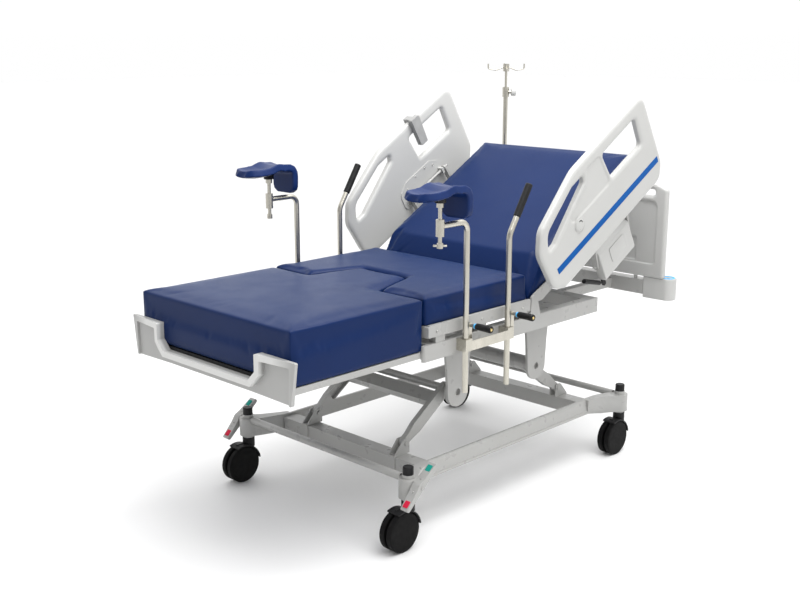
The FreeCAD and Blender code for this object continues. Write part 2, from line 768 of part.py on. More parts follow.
def back_mattress():
    """The foot end is bevelled, so that it clears the seat pad with the backrest fully raised, and its
    nose wraps round the pivot line."""
    pivot_s, pivot_n = pivot_in_back()
    steep = math.radians(back_angle + back_raise)
    clear = back_pivot_x - seat_head_x - pad_gap
    start = back_frame_start - 2.0
    bevel_top_s = pivot_s + (-pivot_n * math.sin(steep) - clear) / math.cos(steep)
    touch_s = pivot_s - clear * math.cos(steep)
    touch_n = pivot_n + clear * math.sin(steep)
    fall = math.hypot(nose_corner_s - pivot_s, nose_corner_n - pivot_n)
    under = math.atan2(nose_corner_n - pivot_n, nose_corner_s - pivot_s) - math.acos(clear / fall)
    under_s = pivot_s + clear * math.cos(under)
    under_n = pivot_n + clear * math.sin(under)
    w = mattress_half_width
    main = [(start, -mattress_thickness, 0), (back_length, -mattress_thickness, 6), (back_length, 0, 6),
            (bevel_top_s, 0, 0), (touch_s, touch_n, 0), (pivot_s, pivot_n, 0)]
    nose = [(pivot_s, pivot_n, 0), (start, -mattress_thickness, 0), (start, nose_corner_n, 3),
            (nose_corner_s, nose_corner_n, 3), (under_s, under_n, 0)]
    wrap = rod((pivot_s, -w, pivot_n), (0, 1, 0), clear, 2 * w)
    return tilt(fuse([prism_y(main, -w, w), prism_y(nose, -w, w), wrap]))


def rail_housing():
    """Sealed drive box for one side rail, with a pivot stub at each end."""
    shape = [(housing_y0, housing_n0, 8), (housing_y1, housing_n0, 12), (housing_y1, housing_n1 - 24, 10),
             (housing_y1 - 18, housing_n1, 8), (housing_y0, housing_n1, 4)]
    body = prism_x(shape, housing_s0, housing_s1)
    panel = box(housing_s0 + 95, housing_s1 - 45, housing_y1 - 1, housing_y1 + 1, housing_n0 + 40,
                housing_n0 + 105)
    stub = rod((housing_s0 - 18, swing_low_y, swing_low_n), (1, 0, 0), 7, housing_s1 - housing_s0 + 36)
    return tilt(fuse([body, panel.cut(body), stub]))


def swing_arms():
    """Two arms and the top shaft of one side rail."""
    rise = swing_high_n - swing_low_n
    run = swing_high_y - swing_low_y
    length = math.hypot(rise, run)
    lean = math.degrees(math.atan2(run, rise))
    arms = []
    for s in (housing_s0 - 14, housing_s1 + 4):
        arm = prism_x([(-14, -14, 13), (14, -14, 13), (12, length + 12, 11), (-12, length + 12, 11)],
                      s, s + 10)
        arm = arm.cut(rod((s - 1, 0, 0), (1, 0, 0), 7 + running_clearance, 12))
        arm.rotate(Vec(0, 0, 0), Vec(1, 0, 0), -lean)
        arm.translate(Vec(0, swing_low_y, swing_low_n))
        arms.append(arm)
    shaft = rod((housing_s0 - 30, swing_high_y, swing_high_n), (1, 0, 0), 6, housing_s1 - housing_s0 + 60)
    return tilt(fuse(arms + [shaft]))


def side_rail():
    """Moulded rail with a grip opening, a crescent slot, a stripe groove, a recessed upper panel and
    the boss of the angle indicator."""
    y0 = side_rail_inner_y
    y1 = y0 + side_rail_thickness
    border = [(52, -92, 40), (796, -92, 50), (836, -30, 60), (rail_top_head_s, rail_top_head_n, 42),
              (rail_top_foot_s, rail_top_foot_n, 190), (26, 200, 70), (-24, 120, 70), (-8, -52, 60)]
    body = prism_y(border, y0, y1)
    rims = [edge for edge in body.Edges if abs(edge.BoundBox.YLength) < 1e-6]
    body = body.makeFillet(rail_edge_round, rims)
    stripe = [(38, -stripe_half_width, 0), (818, -stripe_half_width, 0), (814, stripe_half_width, 0),
              (34, stripe_half_width, 0)]
    body = body.cut(prism_y(stripe, y1 - stripe_depth, y1 + 1))
    panel = [(110, 108, 20), (485, 108, 20), (468, 252, 24), (372, 252, 24), (348, 200, 20)]
    body = body.cut(prism_y(panel, y1 - 5, y1 + 1))
    opening = [(502, 116, 16), (740, 118, 16), (744, 244, 16), (484, 240, 16)]
    body = body.cut(prism_y(opening, y0 - 1, y1 + 1))
    slot = [(30, 100, 11), (58, 168, 60), (262, 238, 40), (344, 240, 10), (336, 210, 10), (80, 102, 11)]
    body = body.cut(prism_y(slot, y0 - 1, y1 + 1))
    indicator = rod((indicator_s, y1 - indicator_height, indicator_n), (0, 1, 0), indicator_radius,
                    2 * indicator_height)
    return tilt(fuse([body, indicator]))


def hinge_plate():
    """Plate on the rail's inner face with two ears round the top shaft."""
    y1 = side_rail_inner_y
    s0 = housing_s0 - 50
    s1 = housing_s1 + 10
    plate = prism_y([(s0, -46, 30), (s1, -46, 30), (s1, 40, 30), (s1 - 60, 76, 20), (s0 + 60, 76, 20),
                     (s0, 40, 30)], y1 - 4, y1)
    ears = []
    for s in (housing_s0 + 6, housing_s1 - 18):
        ears.append(box(s, s + 12, swing_high_y - 12, y1 - 4, swing_high_n - 14, swing_high_n + 14))
    body = fuse([plate] + ears)
    body = body.cut(rod((s0, swing_high_y, swing_high_n), (1, 0, 0), 6 + running_clearance, s1 - s0))
    return tilt(body)


def pendant():
    """Hand control hooked over the far side rail."""
    y1 = side_rail_inner_y - seat_gap
    hook_s0 = 528.0
    hook_s1 = 558.0
    rise = (rail_top_head_n - rail_top_foot_n) / (rail_top_head_s - rail_top_foot_s)
    rest_n = rail_top_foot_n + (hook_s1 - rail_top_foot_s) * rise + seat_gap
    body = prism_y([(520, 176, 8), (566, 176, 8), (570, rest_n + 16, 8), (516, rest_n + 16, 8)], y1 - 24, y1)
    outside = side_rail_inner_y + side_rail_thickness
    hook = box(hook_s0, hook_s1, y1 - 10, outside + 9, rest_n, rest_n + 12)
    drop = box(hook_s0, hook_s1, outside + 1, outside + 9, rest_n - 40, rest_n + 12)
    return tilt(fuse([body, hook, drop]))


def release_lever():
    """Pull handle for a fast drop of the backrest, below the near rail housing."""
    s = housing_s0 + release_inset
    n = housing_n0 - 30
    y = housing_y0 + 10
    half = release_half_width
    top = housing_n0 - seat_gap
    arm = prism_y([(s - half, n - 8, 8), (s + half, n - 8, 8), (s + half, top, half - 0.1),
                   (s - half, top, half - 0.1)], y - 4, y + 4)
    x, z = on_backrest(s, n)
    rise = math.radians(release_rise)
    direction = (-math.cos(rise), 0, math.sin(rise))
    shank = rod((x, y, z), direction, 4, release_shank_length + 2)
    grip_x = x + direction[0] * release_shank_length
    grip_z = z + direction[2] * release_shank_length
    grip = rod((grip_x, y, grip_z), direction, 10, release_grip_length)
    return fuse([tilt(arm), shank, grip])


# Foot section

def foot_frame():
    top = foot_pad_bottom
    low = top - foot_frame_depth
    x0 = foot_x
    x1 = beam_cap_x - 2
    inner = mattress_half_width - foot_tube_width
    pieces = both(hollow_x(x0, x1, inner, mattress_half_width, low, top - seat_gap))
    for x in (x0, (x0 + x1 - foot_tube_width) / 2, x1 - foot_tube_width):
        pieces.append(hollow_y(x, x + foot_tube_width, -inner, inner, low, top - seat_gap))
    for side in (-guide_y, guide_y):
        pieces.append(rod((x1 - 60, side, guide_z), (1, 0, 0), guide_diameter / 2, guide_end_x - x1 + 60))
    return fuse(pieces)


def foot_mattress():
    w = mattress_half_width
    end = seat_foot_x - pad_gap
    main = box(foot_x, end, -w, w, foot_pad_bottom, mattress_top)
    tongue = prism_z([(end - 20, -tongue_base_half, 0), (end, -tongue_base_half, 0),
                      (tongue_tip_x - pad_gap, -tongue_tip_half, 0),
                      (tongue_tip_x - pad_gap, tongue_tip_half, 0),
                      (end, tongue_base_half, 0), (end - 20, tongue_base_half, 0)],
                     mattress_top - mattress_thickness, mattress_top)
    pocket = box(foot_x - 1, foot_x + 50, -horn_inner_y - 6, horn_inner_y + 6, foot_pad_bottom - 1,
                 foot_pad_bottom + 12.3)
    return fuse([main.cut(pocket), tongue])


def foot_tray():
    half = horn_inner_y + 5
    return box(foot_x + 1, foot_x + 49, -half, half, foot_pad_bottom, foot_pad_bottom + 12)


def foot_panel():
    """Moulded foot panel: two horns and a low bar with a rim, hollow and open downwards on the foot
    side, swept back towards both ends."""
    back = foot_x - seat_gap
    front = back - panel_depth
    w = panel_half_width
    v = w - panel_taper
    h = horn_inner_y
    c = horn_chamfer
    rim = panel_rim
    low = panel_bottom
    bar = panel_bar_top
    top = panel_top
    border = [(-v, low, 4), (-230, low + 4, 40), (230, low + 4, 40), (v, low, 4), (w, top, 5), (h, top, 5),
              (h, bar + c, 6), (h - c, bar, 6), (c - h, bar, 6), (-h, bar + c, 6), (-h, top, 5), (-w, top, 5)]
    body = prism_x(border, front, back)
    pocket = [(10 - v, low - 9, 0), (v - 10, low - 9, 0), (w - rim - 7, top - rim, 5),
              (h + rim, top - rim, 5), (h + rim, bar + c - 9, 5), (h - c + 9, bar - rim, 5),
              (c - h - 9, bar - rim, 5), (-h - rim, bar + c - 9, 5), (-h - rim, top - rim, 5),
              (rim + 7 - w, top - rim, 5)]
    body = body.cut(prism_x(pocket, front - 1, back - panel_sheet))
    corner = [(front - 1, h, 0), (front, h, 0), (front + panel_sweep, w + 1, 0), (front - 1, w + 1, 0)]
    sweep = prism_z(corner, low - 1, top + 1)
    return body.cut(sweep).cut(far(sweep))


# Head end

def head_extension():
    arms = both(hollow_x(beam_head_x, board_x + 6, 170, 210, beam_bottom, beam_bottom + 40))
    bar = hollow_y(board_x + 6, board_x + 66, -bumper_inner_y, bumper_inner_y, head_bar_bottom, head_bar_top)
    body = fuse(arms + [bar])
    for side in (-board_pin_y, board_pin_y):
        body = body.cut(rod((board_x + board_thickness / 2 + 6, side, head_bar_bottom - 1), (0, 0, 1),
                            board_pin_diameter / 2 + running_clearance, 80))
    return body


def corner_bumper():
    r = bumper_radius
    x = socket_x
    y = socket_y
    block = prism_z([(board_x + 6, bumper_inner_y, 0), (board_x + 66, bumper_inner_y, 0),
                     (x + r, y - r - 8, 14), (x + r, y + r, r - 2), (x - r, y + r, r - 2),
                     (board_x + 6, y - r, 10)], bumper_bottom, bumper_top)
    return block.cut(rod((x, y, bumper_bottom + 12), (0, 0, 1), pole_diameter / 2 + running_clearance, 120))


def headboard():
    """Moulded board with a handhold near each end and a recessed inner panel with a pocket."""
    w = board_half_width
    x0 = board_x
    x1 = board_x + board_thickness
    border = [(-w, board_bottom, 6), (w, board_bottom, 6), (w, board_top - 24, 16), (w - 60, board_top, 60),
              (60 - w, board_top, 60), (-w, board_top - 24, 16)]
    body = prism_x(border, x0, x1)
    inner = [(-w + 46, board_bottom + 60, 20), (w - 46, board_bottom + 60, 20), (w - 46, board_top - 76, 30),
             (-w + 46, board_top - 76, 30)]
    body = body.cut(prism_x(inner, x0 - 1, x0 + 9))
    pocket = [(-w + 150, board_bottom + 70, 12), (w - 150, board_bottom + 70, 12),
              (w - 150, board_bottom + 180, 12), (-w + 150, board_bottom + 180, 12)]
    body = body.cut(prism_x(pocket, x0 + 8, x0 + 16))
    for side in (-1, 1):
        hold = [(side * (w - 60), board_top - 56, 14), (side * (w - 150), board_top - 56, 14),
                (side * (w - 150), board_top - 26, 14), (side * (w - 60), board_top - 26, 14)]
        body = body.cut(prism_x(hold, x0 - 1, x1 + 1))
    pins = []
    middle = board_x + board_thickness / 2 + 6
    for side in (-board_pin_y, board_pin_y):
        pins.append(rod((middle, side, head_bar_bottom + 5), (0, 0, 1), board_pin_diameter / 2,
                        board_bottom + 4 - head_bar_bottom - 5))
    return fuse([body] + pins)


def pole_tube():
    r = pole_diameter / 2
    x = socket_x
    y = socket_y
    bottom = bumper_bottom + 12
    tube = rod((x, y, bottom), (0, 0, 1), r, pole_top - bottom)
    clamp = rod((x, y, pole_top - 4), (0, 0, 1), 16, 48)
    boss = rod((x + 8, y - 8, pole_top + 20), (1, -1, 0), 9, knob_reach - seat_gap - 8 * math.sqrt(2))
    body = fuse([tube, clamp, boss])
    bore_depth = pole_rod_depth + pole_drop + 10
    bore = rod((x, y, pole_top - bore_depth), (0, 0, 1), pole_rod_diameter / 2 + running_clearance,
               bore_depth + 60)
    return body.cut(bore)


def pole_rod():
    x = socket_x
    y = socket_y
    shaft = rod((x, y, pole_top - pole_rod_depth), (0, 0, 1), pole_rod_diameter / 2,
                pole_rod_top - pole_top + pole_rod_depth)
    block = rod((x, y, pole_rod_top - 2), (0, 0, 1), 15, 36)
    hooks = []
    for quarter in range(4):
        turn = math.radians(45 + 90 * quarter)
        c = math.cos(turn)
        s = math.sin(turn)
        r = hook_reach
        path = [(x + 8 * c, y + 8 * s, pole_rod_top + 20),
                (x + 0.55 * r * c, y + 0.55 * r * s, pole_rod_top + 4),
                (x + r * c, y + r * s, pole_rod_top + 10), (x + r * c, y + r * s, pole_rod_top + 34)]
        hooks.append(bent_tube(path, 10, hook_wire))
    return fuse([shaft, block] + hooks)


def pole_knob():
    x = socket_x
    y = socket_y
    reach = knob_reach / math.sqrt(2)
    start = (x + reach, y - reach, pole_top + 20)
    knob = rod(start, (1, -1, 0), 20, 24)
    return knob.makeFillet(5, [knob.Edges[0], knob.Edges[2]])


# Export

member = side_member()
save("side_members", both(member))
cross = cross_member()
save("cross_members", [cross, head(cross)])
corners = [(x, y) for x in (-post_x, post_x) for y in (-post_y, post_y)]
stubs = both(pedal_stub())
save("castor_posts", [castor_post(x, y) for x, y in corners] + stubs)
save("post_caps", [post_cap(x, y) for x, y in corners])
tube = end_tube(member)
save("end_tubes", [tube, head(tube)])
bracket = arm_bracket()
save("arm_brackets", both(bracket) + both(head(bracket)))
save("brake_pedal_far", [pedal()])
save("brake_pedal_near", [far(pedal())])

places = {"foot_near": (-post_x, -post_y), "foot_far": (-post_x, post_y),
          "head_near": (post_x, -post_y), "head_far": (post_x, post_y)}
for place, (x, y) in places.items():
    save("castor_housing_" + place, [castor_housing(x, y)])
    save("castor_wheels_" + place, [castor_wheels(x, y)])

save("head_lift_arms", [lift_arms(32, 45)])
save("foot_lift_arms", [head(lift_arms(15, 54))])

beam = deck_beam()
save("deck_beams", both(fuse([beam, pivot_lug()])))
save("deck_crossbars", deck_crossbars())
plate = hanging_plate()
save("hanging_plates", both(plate) + both(head(plate)))
save("seat_rails", both(seat_rail()))
save("seat_pan", [seat_pan()])
save("seat_mattress", [seat_mattress()])
save("post_brackets", both(post_bracket()))
for side, place in ((1, "far"), (-1, "near")):
    placed = (lambda shape: shape) if side == 1 else far
    save("leg_post_" + place, [placed(leg_post())])
    save("trough_stem_" + place, [placed(trough_stem())])
    save("leg_trough_" + place, [placed(leg_trough())])
    save("grip_post_" + place, [placed(grip_post())])
    save("hand_grip_" + place, [placed(hand_grip())])
    for name, x in (("leg", leg_post_x + 43), ("grip", grip_post_x + 48)):
        save("clamp_lever_" + name + "_" + place, [placed(clamp_lever(x))])
    save("side_rail_" + place, [placed(side_rail())])
    save("hinge_plate_" + place, [placed(hinge_plate())])
    save("swing_arms_" + place, [placed(swing_arms())])

save("back_frame", [back_frame()])
save("back_mattress", [back_mattress()])
save("rail_housings", both(rail_housing()))
save("pendant", [pendant()])
save("release_lever", [far(release_lever())])
save("foot_frame", [foot_frame()])
save("foot_mattress", [foot_mattress()])
save("foot_tray", [foot_tray()])
save("foot_panel", [foot_panel()])
save("head_extension", [head_extension()])
save("corner_bumpers", both(corner_bumper()))
save("headboard", [headboard()])
save("pole_tube", [pole_tube()])
save("pole_rod", [pole_rod()])
save("pole_knob", [pole_knob()])
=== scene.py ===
import json
import math

import bmesh
import bpy
import numpy as np
from mathutils import Matrix, Vector
from mathutils.bvhtree import BVHTree
from mathutils.kdtree import KDTree


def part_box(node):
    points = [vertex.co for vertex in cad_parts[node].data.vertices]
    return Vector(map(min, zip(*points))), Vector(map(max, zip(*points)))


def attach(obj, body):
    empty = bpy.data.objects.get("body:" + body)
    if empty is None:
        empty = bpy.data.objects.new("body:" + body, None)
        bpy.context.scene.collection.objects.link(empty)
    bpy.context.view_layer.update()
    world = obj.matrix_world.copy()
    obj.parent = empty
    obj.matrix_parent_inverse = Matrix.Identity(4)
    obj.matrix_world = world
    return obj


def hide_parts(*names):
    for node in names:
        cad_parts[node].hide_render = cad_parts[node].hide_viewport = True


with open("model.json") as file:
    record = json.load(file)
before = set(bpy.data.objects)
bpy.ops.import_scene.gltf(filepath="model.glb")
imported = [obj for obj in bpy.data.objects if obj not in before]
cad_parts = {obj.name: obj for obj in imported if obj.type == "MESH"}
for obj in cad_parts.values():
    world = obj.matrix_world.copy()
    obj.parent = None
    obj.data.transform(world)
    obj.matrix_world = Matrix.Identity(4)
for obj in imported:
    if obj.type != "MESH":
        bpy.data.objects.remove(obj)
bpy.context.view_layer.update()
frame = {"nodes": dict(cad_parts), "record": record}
nodes = frame["nodes"]
scene = bpy.context.scene

# Places. Work coordinates have x = 0 midway between the castor posts, +X to the head end, the near
# side at -Y and z = 0 on the floor, in metres. The frame is moved along X by shift.
posts_low, posts_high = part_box("castor_posts")
shift = (posts_low.x + posts_high.x) / 2
mattress_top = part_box("foot_mattress")[1].z

# The backrest's own coordinates: s along it from its foot end, n out of it, at the raised rest pose.
back_angle = math.radians(29.7)
back_start = Vector((shift + 0.036, 0, mattress_top))
along_back = Vector((math.cos(back_angle), 0, math.sin(back_angle)))
out_of_back = Vector((-math.sin(back_angle), 0, math.cos(back_angle)))

sides = (("near", -1), ("far", 1))
# Outside every piece along Y on either side.
outside = 0.6


def at(x, y, z):
    return Vector((x + shift, y, z))


def on_back(s, y, n):
    return back_start + along_back * s + out_of_back * n + Vector((0, y, 0))


# Materials

class Shader:
    """A node material with a Principled shader and helpers for procedural detail in object space."""

    def __init__(self, name, color, roughness, metallic=0.0):
        self.material = bpy.data.materials.new(name)
        self.material.use_nodes = True
        self.tree = self.material.node_tree
        self.shader = self.tree.nodes["Principled BSDF"]
        self.shader.inputs["Metallic"].default_value = metallic
        self.shader.inputs["Roughness"].default_value = roughness
        self.shader.inputs["Base Color"].default_value = (*color, 1)
        self.color = color
        self.roughness = roughness
        self.space = self.tree.nodes.new("ShaderNodeTexCoord").outputs["Object"]
        self.height = None

    def node(self, kind, **settings):
        made = self.tree.nodes.new(kind)
        for name, value in settings.items():
            setattr(made, name, value)
        return made

    def link(self, source, target):
        self.tree.links.new(source, target)

    def stretched(self, scale):
        mapping = self.node("ShaderNodeMapping")
        mapping.inputs["Scale"].default_value = scale
        self.link(self.space, mapping.inputs["Vector"])
        return mapping.outputs["Vector"]

    def noise(self, scale, detail=3.0, stretch=None):
        made = self.node("ShaderNodeTexNoise")
        made.inputs["Scale"].default_value = scale
        made.inputs["Detail"].default_value = detail
        self.link(self.stretched(stretch) if stretch else self.space, made.inputs["Vector"])
        return made.outputs["Fac"]

    def cells(self, scale):
        made = self.node("ShaderNodeTexVoronoi")
        made.inputs["Scale"].default_value = scale
        self.link(self.space, made.inputs["Vector"])
        return made.outputs["Distance"]

    def between(self, factor, low, high, low_at=0.35, high_at=0.65):
        ramp = self.node("ShaderNodeMapRange")
        ramp.inputs["From Min"].default_value = low_at
        ramp.inputs["From Max"].default_value = high_at
        ramp.inputs["To Min"].default_value = low
        ramp.inputs["To Max"].default_value = high
        self.link(factor, ramp.inputs["Value"])
        return ramp.outputs["Result"]

    def vary_color(self, factor, other):
        mix = self.node("ShaderNodeMix", data_type="RGBA")
        self.link(factor, mix.inputs["Factor"])
        mix.inputs[6].default_value = (*self.color, 1)
        mix.inputs[7].default_value = (*other, 1)
        self.link(mix.outputs[2], self.shader.inputs["Base Color"])

    def vary_roughness(self, factor, spread):
        self.link(self.between(factor, self.roughness - spread, self.roughness + spread),
                  self.shader.inputs["Roughness"])

    def bump(self, height, distance, strength):
        made = self.node("ShaderNodeBump")
        made.inputs["Distance"].default_value = distance
        made.inputs["Strength"].default_value = strength
        self.link(height, made.inputs["Height"])
        if self.height is not None:
            self.link(self.height, made.inputs["Normal"])
        self.height = made.outputs["Normal"]
        self.link(self.height, self.shader.inputs["Normal"])

    def set(self, **values):
        for name, value in values.items():
            self.shader.inputs[name.replace("_", " ")].default_value = value


def powder_coat():
    """Warm white powder coat with a fine orange peel and faint handling marks."""
    made = Shader("white_powder_coat", (0.37, 0.37, 0.36), 0.34)
    made.vary_color(made.between(made.noise(5, 4), 0, 1, 0.3, 0.75), (0.35, 0.347, 0.335))
    made.vary_roughness(made.noise(22, 4), 0.07)
    made.bump(made.noise(620, 2), 0.00025, 0.35)
    return made.material


def moulded_white():
    """Moulded white plastic with a soft sheen and a very fine spark-eroded grain."""
    made = Shader("moulded_white", (0.47, 0.47, 0.458), 0.34)
    made.vary_color(made.between(made.noise(4, 3), 0, 1, 0.3, 0.75), (0.45, 0.45, 0.436))
    made.vary_roughness(made.noise(30, 3), 0.05)
    made.bump(made.noise(1400, 2), 0.00012, 0.4)
    made.set(Coat_Weight=0.12, Coat_Roughness=0.25)
    return made.material


def panel_with_painted_hollow_shade():
    """White paint of the foot panel, with painted shade: the colour turns grey in the hollow behind its rim
    to stand for the shade there.
    """
    made = Shader("panel_with_painted_hollow_shade", (0.66, 0.66, 0.645), 0.36)
    split = made.node("ShaderNodeSeparateXYZ")
    made.link(made.space, split.inputs["Vector"])
    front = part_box("foot_panel")[0].x
    # Painted shade: deeper than the rim, the colour blends to a darker grey that stands for the shadow in
    # the hollow.
    hollow_shade_mask = made.between(split.outputs["X"], 0, 1, front + 0.009, front + 0.019)
    made.vary_color(hollow_shade_mask, (0.39, 0.39, 0.381))
    made.vary_roughness(made.noise(22, 4), 0.06)
    made.bump(made.noise(620, 2), 0.00025, 0.35)
    return made.material


def stainless():
    """Drawn stainless tube with a brushed grain along its length."""
    made = Shader("drawn_stainless", (0.58, 0.555, 0.49), 0.3, 1.0)
    made.vary_color(made.between(made.noise(18, 4, (1, 1, 0.15)), 0, 1), (0.5, 0.48, 0.42))
    made.vary_roughness(made.noise(900, 2, (1, 1, 0.02)), 0.07)
    made.bump(made.noise(1600, 2, (1, 1, 0.02)), 0.0001, 0.35)
    return made.material


def black_plastic():
    """Grained black plastic, slightly worn on the surface."""
    made = Shader("black_plastic", (0.008, 0.008, 0.0085), 0.45)
    made.vary_color(made.between(made.noise(40, 3), 0, 1), (0.014, 0.014, 0.015))
    made.vary_roughness(made.noise(90, 3), 0.07)
    made.bump(made.noise(1500, 2), 0.0002, 0.4)
    made.set(Specular_IOR_Level=0.2)
    return made.material


def wheel_rubber():
    """Dull black polyurethane of the castor wheels, dusty from the floor."""
    made = Shader("wheel_rubber", (0.004, 0.004, 0.0042), 0.55)
    made.vary_color(made.between(made.noise(60, 4), 0, 1), (0.008, 0.0078, 0.0078))
    made.vary_roughness(made.noise(120, 3), 0.08)
    made.bump(made.noise(900, 3), 0.0003, 0.5)
    made.set(Specular_IOR_Level=0.08)
    return made.material


def coated_cover():
    """Blue polyurethane-coated cover fabric: a fine knit under a satin skin."""
    made = Shader("blue_coated_cover", (0.0018, 0.0138, 0.072), 0.38)
    made.vary_color(made.between(made.noise(6, 3), 0, 1, 0.3, 0.7), (0.002, 0.0152, 0.0775))
    made.vary_roughness(made.noise(9, 3), 0.025)
    made.bump(made.cells(1700), 0.00018, 0.4)
    made.bump(made.noise(9, 2), 0.0008, 0.05)
    made.set(Specular_IOR_Level=0.13, Sheen_Weight=0.14, Sheen_Roughness=0.3, Sheen_Tint=(0.5, 0.74, 1, 1))
    return made.material


def moulded_blue():
    """Self-skinned blue foam of the leg troughs."""
    made = Shader("moulded_blue_skin", (0.0055, 0.021, 0.098), 0.38)
    made.vary_color(made.between(made.noise(9, 3), 0, 1), (0.0048, 0.0185, 0.088))
    made.vary_roughness(made.noise(12, 3), 0.03)
    made.bump(made.noise(800, 3), 0.0003, 0.3)
    made.set(Specular_IOR_Level=0.16)
    return made.material


def coloured_plastic(name, color, other, roughness=0.4):
    """A small coloured moulding or inlay with a fine grain."""
    made = Shader(name, color, roughness)
    made.vary_color(made.between(made.noise(30, 3), 0, 1), other)
    made.vary_roughness(made.noise(80, 3), 0.06)
    made.bump(made.noise(1300, 2), 0.00012, 0.4)
    made.set(Specular_IOR_Level=0.07)
    return made.material


def small_metal(name, color, other, roughness=0.28):
    """Turned or plated metal of screws and inserts, with fine tool marks."""
    made = Shader(name, color, roughness, 1.0)
    made.vary_color(made.between(made.noise(60, 3), 0, 1), other)
    made.vary_roughness(made.noise(400, 3), 0.08)
    made.bump(made.noise(2500, 2), 0.00005, 0.3)
    return made.material


paint = powder_coat()
white = moulded_white()
steel = stainless()
black = black_plastic()
tyre = wheel_rubber()
cover = coated_cover()
skin = moulded_blue()
stripe_blue = coloured_plastic("stripe_blue", (0.003, 0.076, 0.29), (0.004, 0.084, 0.31), 0.45)
ring_blue = coloured_plastic("ring_blue", (0.09, 0.42, 0.8), (0.11, 0.46, 0.84))
trim_grey = coloured_plastic("trim_grey", (0.3, 0.3, 0.295), (0.33, 0.33, 0.325))
trim_dark = coloured_plastic("trim_dark", (0.07, 0.07, 0.07), (0.09, 0.09, 0.088))
pad_green = coloured_plastic("pad_green", (0.012, 0.24, 0.2), (0.016, 0.28, 0.23), 0.5)
pad_red = coloured_plastic("pad_red", (0.55, 0.016, 0.05), (0.6, 0.022, 0.06), 0.5)
brass = small_metal("brass", (0.72, 0.56, 0.25), (0.62, 0.47, 0.2))
screw_steel = small_metal("screw_steel", (0.5, 0.5, 0.48), (0.42, 0.42, 0.41))

finish_of_slot = {"frame_paint": paint, "stainless": steel, "white_plastic": white, "black_plastic": black,
                  "pad_blue": cover, "trough_blue": skin, "wheel_black": tyre}
finish_of_node = {"foot_panel": panel_with_painted_hollow_shade(), "hinge_plate_near": white, "hinge_plate_far": white,
                  "pendant": trim_grey}


def finish_cad_nodes():
    slots = {part["node"]: part["material_slot"] for part in frame["record"]["subparts"]}
    for name, node in nodes.items():
        node.data.materials.clear()
        node.data.materials.append(finish_of_node.get(name) or finish_of_slot[slots[name]])


def soften_edges(node, width):
    """Small rounded edges on a carried-over node, as paint and moulding leave them."""
    sharper_than = math.radians(35)
    weld = node.modifiers.new("weld", "WELD")
    weld.merge_threshold = 0.00002
    flat = node.modifiers.new("flat_faces", "DECIMATE")
    flat.decimate_type = "DISSOLVE"
    flat.angle_limit = math.radians(1)
    bevel = node.modifiers.new("soft_edges", "BEVEL")
    bevel.width = width
    bevel.segments = 2
    bevel.limit_method = "ANGLE"
    bevel.angle_limit = sharper_than
    bevel.use_clamp_overlap = True
    bevel.harden_normals = True


# Mesh helpers

def welded(node):
    """A copy of a node's mesh whose faces share their corners."""
    form = bmesh.new()
    form.from_mesh(nodes[node].data)
    bmesh.ops.remove_doubles(form, verts=form.verts, dist=0.00001)
    mesh = bpy.data.meshes.new(node + "_copy")
    form.to_mesh(mesh)
    form.free()
    return mesh


def with_modifiers(mesh, *modifiers):
    """The mesh after these modifiers, each given as its type and its settings."""
    carrier = bpy.data.objects.new("carrier", mesh)
    scene.collection.objects.link(carrier)
    for kind, settings in modifiers:
        modifier = carrier.modifiers.new(kind.lower(), kind)
        for name, value in settings.items():
            setattr(modifier, name, value)
    made = bpy.data.meshes.new_from_object(carrier.evaluated_get(bpy.context.evaluated_depsgraph_get()))
    bpy.data.objects.remove(carrier)
    return made


def remeshed(mesh, voxel, passes):
    return with_modifiers(mesh, ("REMESH", {"mode": "VOXEL", "voxel_size": voxel}),
                          ("SMOOTH", {"factor": 0.5, "iterations": passes}))


def points_of(mesh):
    points = np.empty(len(mesh.vertices) * 3, np.float32)
    mesh.vertices.foreach_get("co", points)
    return points.reshape(-1, 3)


def normals_of(mesh):
    normals = np.empty(len(mesh.vertices) * 3, np.float32)
    mesh.vertices.foreach_get("normal", normals)
    return normals.reshape(-1, 3)


def set_points(mesh, points):
    mesh.vertices.foreach_set("co", points.astype(np.float32).ravel())
    mesh.update()


def piece(name, mesh, material, body, slot, *replaced):
    """A new piece that rides on a body, and stands for the nodes that it replaces."""
    made = bpy.data.objects.new(name, mesh)
    scene.collection.objects.link(made)
    mesh.materials.clear()
    mesh.materials.append(material)
    mesh.polygons.foreach_set("material_index", np.zeros(len(mesh.polygons), np.int32))
    mesh.shade_smooth()
    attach(made, body)
    if replaced:
        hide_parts(*replaced)
    return made


def turned(profile, place, axis, segments=32):
    """A closed body of revolution. The profile's points are (radius, height) along the axis from place."""
    form = bmesh.new()
    rings = []
    for radius, height in profile:
        count = segments if radius else 1
        angles = [math.tau * i / segments for i in range(count)]
        rings.append([form.verts.new((radius * math.cos(a), radius * math.sin(a), height)) for a in angles])
    for low, high in zip(rings, rings[1:]):
        for i in range(segments):
            corners = [low[i % len(low)], low[(i + 1) % len(low)],
                       high[(i + 1) % len(high)], high[i % len(high)]]
            form.faces.new(list(dict.fromkeys(corners)))
    bmesh.ops.remove_doubles(form, verts=form.verts, dist=0.000001)
    bmesh.ops.recalc_face_normals(form, faces=form.faces)
    turn = Vector((0, 0, 1)).rotation_difference(Vector(axis))
    form.transform(Matrix.Translation(place) @ turn.to_matrix().to_4x4())
    mesh = bpy.data.meshes.new("turned")
    form.to_mesh(mesh)
    form.free()
    return mesh


